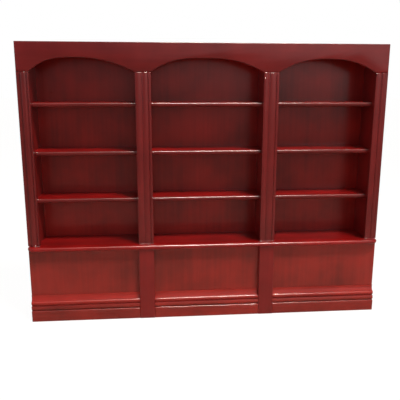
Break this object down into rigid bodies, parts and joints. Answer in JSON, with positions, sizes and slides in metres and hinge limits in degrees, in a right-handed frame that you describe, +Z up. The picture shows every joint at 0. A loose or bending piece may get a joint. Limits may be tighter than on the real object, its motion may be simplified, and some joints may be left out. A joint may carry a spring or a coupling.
{
  "type": "miniature bookcase",
  "caption": "Wide dolls-house bookcase in dark red lacquered wood, with open shelves above a counter, arched fascia, reeded pilasters and a solid moulded base.",
  "frame": {"origin": "on the floor, in the middle of the width and of the overall depth, counter nosing included", "axes": "+Z up, +X to the right seen from the front, +Y from the front towards the back; the open front faces -Y"},
  "size_m": [0.24, 0.032, 0.185],
  "materials": {
    "face_frame_lacquer": "deep gloss dark red lacquer over fine-grained wood",
    "carcass_lacquer": "deep gloss dark red lacquer over fine-grained wood",
    "back_lacquer": "gloss dark red lacquer over thin plywood"
  },
  "bodies": {
    "root": {"side_panel_left": "carcass_lacquer", "divider_left": "carcass_lacquer", "side_panel_right": "carcass_lacquer", "divider_right": "carcass_lacquer", "top_board": "carcass_lacquer", "counter_board": "carcass_lacquer", "floor_board": "carcass_lacquer", "back_panel": "back_lacquer", "shelf_left_lower": "carcass_lacquer", "shelf_left_middle": "carcass_lacquer", "shelf_left_upper": "carcass_lacquer", "shelf_center_lower": "carcass_lacquer", "shelf_center_middle": "carcass_lacquer", "shelf_center_upper": "carcass_lacquer", "shelf_right_lower": "carcass_lacquer", "shelf_right_middle": "carcass_lacquer", "shelf_right_upper": "carcass_lacquer", "arched_fascia": "face_frame_lacquer", "pilaster_end_left": "face_frame_lacquer", "pilaster_middle_left": "face_frame_lacquer", "pilaster_middle_right": "face_frame_lacquer", "pilaster_end_right": "face_frame_lacquer", "base_front": "face_frame_lacquer", "base_post_left": "face_frame_lacquer", "base_post_right": "face_frame_lacquer", "plinth_moulding_left": "face_frame_lacquer", "plinth_moulding_center": "face_frame_lacquer", "plinth_moulding_right": "face_frame_lacquer"}
  },
  "joints": []
}
